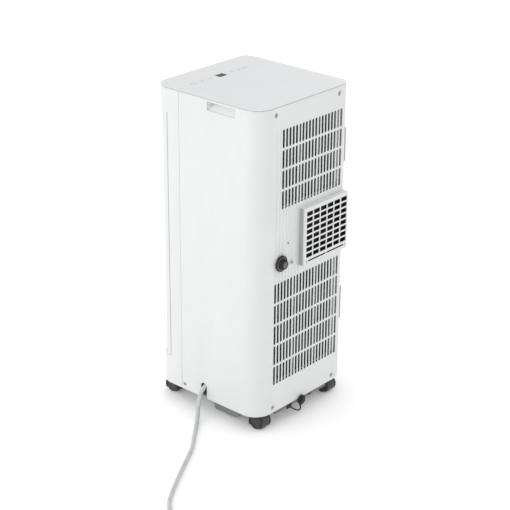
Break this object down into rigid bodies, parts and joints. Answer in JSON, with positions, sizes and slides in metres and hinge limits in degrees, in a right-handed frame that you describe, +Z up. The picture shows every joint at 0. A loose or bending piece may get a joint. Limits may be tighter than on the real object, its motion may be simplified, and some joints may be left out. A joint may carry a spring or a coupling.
{
  "type": "portable air conditioner",
  "caption": "Slim upright portable air conditioner on casters, with slotted rear grilles, a gridded exhaust outlet, drain plugs, carry handles and a front outlet flap.",
  "frame": {"origin": "on the floor, under the middle of the machine's whole width and depth", "axes": "+Z up, -Y out of the front with the cold air outlet, +Y out of the back with the grilles and the exhaust outlet, +X towards the side that the mains cord leaves"},
  "size_m": [0.718, 0.4874, 0.6944],
  "materials": {
    "white_abs": "fine moulded texture",
    "pale_grey_abs": "fine moulded texture",
    "grey_pp": "moulded",
    "smoked_acrylic": "polished",
    "circuit_laminate": "coated board",
    "motor_steel": "pressed and plated",
    "filter_net": "woven net",
    "fin_aluminium": "bare",
    "copper_tube": "bare, slightly dulled",
    "duct_foam": "moulded foam",
    "dark_pp": "moulded",
    "compressor_paint": "satin black",
    "black_rubber": "moulded",
    "box_plastic": "moulded",
    "capacitor_case": "drawn can",
    "zinc_screw": "zinc plated",
    "cord_pvc": "soft PVC jacket"
  },
  "bodies": {
    "casing": {"base_pan": "grey_pp", "front_shell": "white_abs", "front_panel": "white_abs", "rear_shell": "pale_grey_abs", "top_cover": "pale_grey_abs", "display_window": "smoked_acrylic", "control_board": "circuit_laminate", "carry_cups": "pale_grey_abs", "outlet_frame": "white_abs", "flap_motor": "motor_steel", "mid_deck": "pale_grey_abs", "exhaust_collar": "pale_grey_abs", "exhaust_grille": "pale_grey_abs", "evaporator_fins": "fin_aluminium", "evaporator_tubes": "copper_tube", "condenser_fins": "fin_aluminium", "condenser_tubes": "copper_tube", "cold_scroll": "duct_foam", "cold_motor": "motor_steel", "hot_scroll": "duct_foam", "hot_motor": "motor_steel", "slinger_motor": "motor_steel", "compressor": "compressor_paint", "accumulator": "compressor_paint", "compressor_feet": "black_rubber", "refrigerant_lines": "copper_tube", "electrical_box": "box_plastic", "run_capacitor": "capacitor_case", "drain_hose": "pale_grey_abs", "plug_tether": "black_rubber", "casing_screws": "zinc_screw", "cord_gland": "dark_pp", "power_cord": "cord_pvc", "cord_coil": "cord_pvc", "mains_plug": "cord_pvc"},
    "outlet_flap": {"outlet_flap": "white_abs"},
    "key_1": {"key_1": "pale_grey_abs"},
    "key_2": {"key_2": "pale_grey_abs"},
    "key_3": {"key_3": "pale_grey_abs"},
    "key_4": {"key_4": "pale_grey_abs"},
    "key_5": {"key_5": "pale_grey_abs"},
    "key_6": {"key_6": "pale_grey_abs"},
    "upper_filter": {"upper_filter": "pale_grey_abs", "upper_filter_mesh": "filter_net"},
    "lower_filter": {"lower_filter": "pale_grey_abs", "lower_filter_mesh": "filter_net"},
    "cold_impeller": {"cold_impeller": "dark_pp"},
    "hot_impeller": {"hot_impeller": "dark_pp"},
    "slinger_wheel": {"slinger_wheel": "dark_pp"},
    "upper_drain_plug": {"upper_drain_plug": "black_rubber"},
    "lower_drain_plug": {"lower_drain_plug": "black_rubber"},
    "caster_hood_1": {"caster_hood_1": "dark_pp"},
    "caster_hood_2": {"caster_hood_2": "dark_pp"},
    "caster_hood_3": {"caster_hood_3": "dark_pp"},
    "caster_hood_4": {"caster_hood_4": "dark_pp"},
    "caster_wheels_1": {"caster_wheels_1": "dark_pp"},
    "caster_wheels_2": {"caster_wheels_2": "dark_pp"},
    "caster_wheels_3": {"caster_wheels_3": "dark_pp"},
    "caster_wheels_4": {"caster_wheels_4": "dark_pp"}
  },
  "joints": [
    {"name": "flap_tilt", "type": "hinge", "parent": "casing", "child": "outlet_flap", "pos_m": [0, -0.1366, 0.563], "axis": [1, 0, 0], "range_deg": [0, 75]},
    {"name": "key_1_press", "type": "slide", "parent": "casing", "child": "key_1", "axis": [0, 0, -1], "range_m": [0, 0.001], "stiffness_N_per_m": 400},
    {"name": "key_2_press", "type": "slide", "parent": "casing", "child": "key_2", "axis": [0, 0, -1], "range_m": [0, 0.001], "stiffness_N_per_m": 400},
    {"name": "key_3_press", "type": "slide", "parent": "casing", "child": "key_3", "axis": [0, 0, -1], "range_m": [0, 0.001], "stiffness_N_per_m": 400},
    {"name": "key_4_press", "type": "slide", "parent": "casing", "child": "key_4", "axis": [0, 0, -1], "range_m": [0, 0.001], "stiffness_N_per_m": 400},
    {"name": "key_5_press", "type": "slide", "parent": "casing", "child": "key_5", "axis": [0, 0, -1], "range_m": [0, 0.001], "stiffness_N_per_m": 400},
    {"name": "key_6_press", "type": "slide", "parent": "casing", "child": "key_6", "axis": [0, 0, -1], "range_m": [0, 0.001], "stiffness_N_per_m": 400},
    {"name": "upper_filter_pull", "type": "slide", "parent": "casing", "child": "upper_filter", "axis": [-1, 0, 0], "range_m": [0, 0.2]},
    {"name": "lower_filter_pull", "type": "slide", "parent": "casing", "child": "lower_filter", "axis": [-1, 0, 0], "range_m": [0, 0.22]},
    {"name": "cold_fan_spin", "type": "hinge", "parent": "casing", "child": "cold_impeller", "pos_m": [0.01, -0.007, 0.565], "axis": [0, 1, 0], "continuous": true},
    {"name": "hot_fan_spin", "type": "hinge", "parent": "casing", "child": "hot_impeller", "pos_m": [-0.048, 0.013, 0.402], "axis": [0, 0, 1], "continuous": true},
    {"name": "slinger_spin", "type": "hinge", "parent": "casing", "child": "slinger_wheel", "pos_m": [-0.03, 0.069, 0.108], "axis": [0, 1, 0], "continuous": true},
    {"name": "upper_plug_pull", "type": "slide", "parent": "casing", "child": "upper_drain_plug", "axis": [0, 1, 0], "range_m": [0, 0.02]},
    {"name": "lower_plug_pull", "type": "slide", "parent": "casing", "child": "lower_drain_plug", "axis": [0, 1, 0], "range_m": [0, 0.015], "deforming": ["plug_tether"]},
    {"name": "caster_1_swivel", "type": "hinge", "parent": "casing", "child": "caster_hood_1", "pos_m": [0.107, 0.113, 0.04], "axis": [0, 0, 1], "continuous": true},
    {"name": "caster_2_swivel", "type": "hinge", "parent": "casing", "child": "caster_hood_2", "pos_m": [-0.107, 0.113, 0.04], "axis": [0, 0, 1], "continuous": true},
    {"name": "caster_3_swivel", "type": "hinge", "parent": "casing", "child": "caster_hood_3", "pos_m": [0.107, -0.127, 0.04], "axis": [0, 0, 1], "continuous": true},
    {"name": "caster_4_swivel", "type": "hinge", "parent": "casing", "child": "caster_hood_4", "pos_m": [-0.107, -0.127, 0.04], "axis": [0, 0, 1], "continuous": true},
    {"name": "caster_1_roll", "type": "hinge", "parent": "caster_hood_1", "child": "caster_wheels_1", "pos_m": [0.107, 0.11, 0.015], "axis": [1, 0, 0], "continuous": true},
    {"name": "caster_2_roll", "type": "hinge", "parent": "caster_hood_2", "child": "caster_wheels_2", "pos_m": [-0.107, 0.11, 0.015], "axis": [1, 0, 0], "continuous": true},
    {"name": "caster_3_roll", "type": "hinge", "parent": "caster_hood_3", "child": "caster_wheels_3", "pos_m": [0.107, -0.13, 0.015], "axis": [1, 0, 0], "continuous": true},
    {"name": "caster_4_roll", "type": "hinge", "parent": "caster_hood_4", "child": "caster_wheels_4", "pos_m": [-0.107, -0.13, 0.015], "axis": [1, 0, 0], "continuous": true}
  ]
}
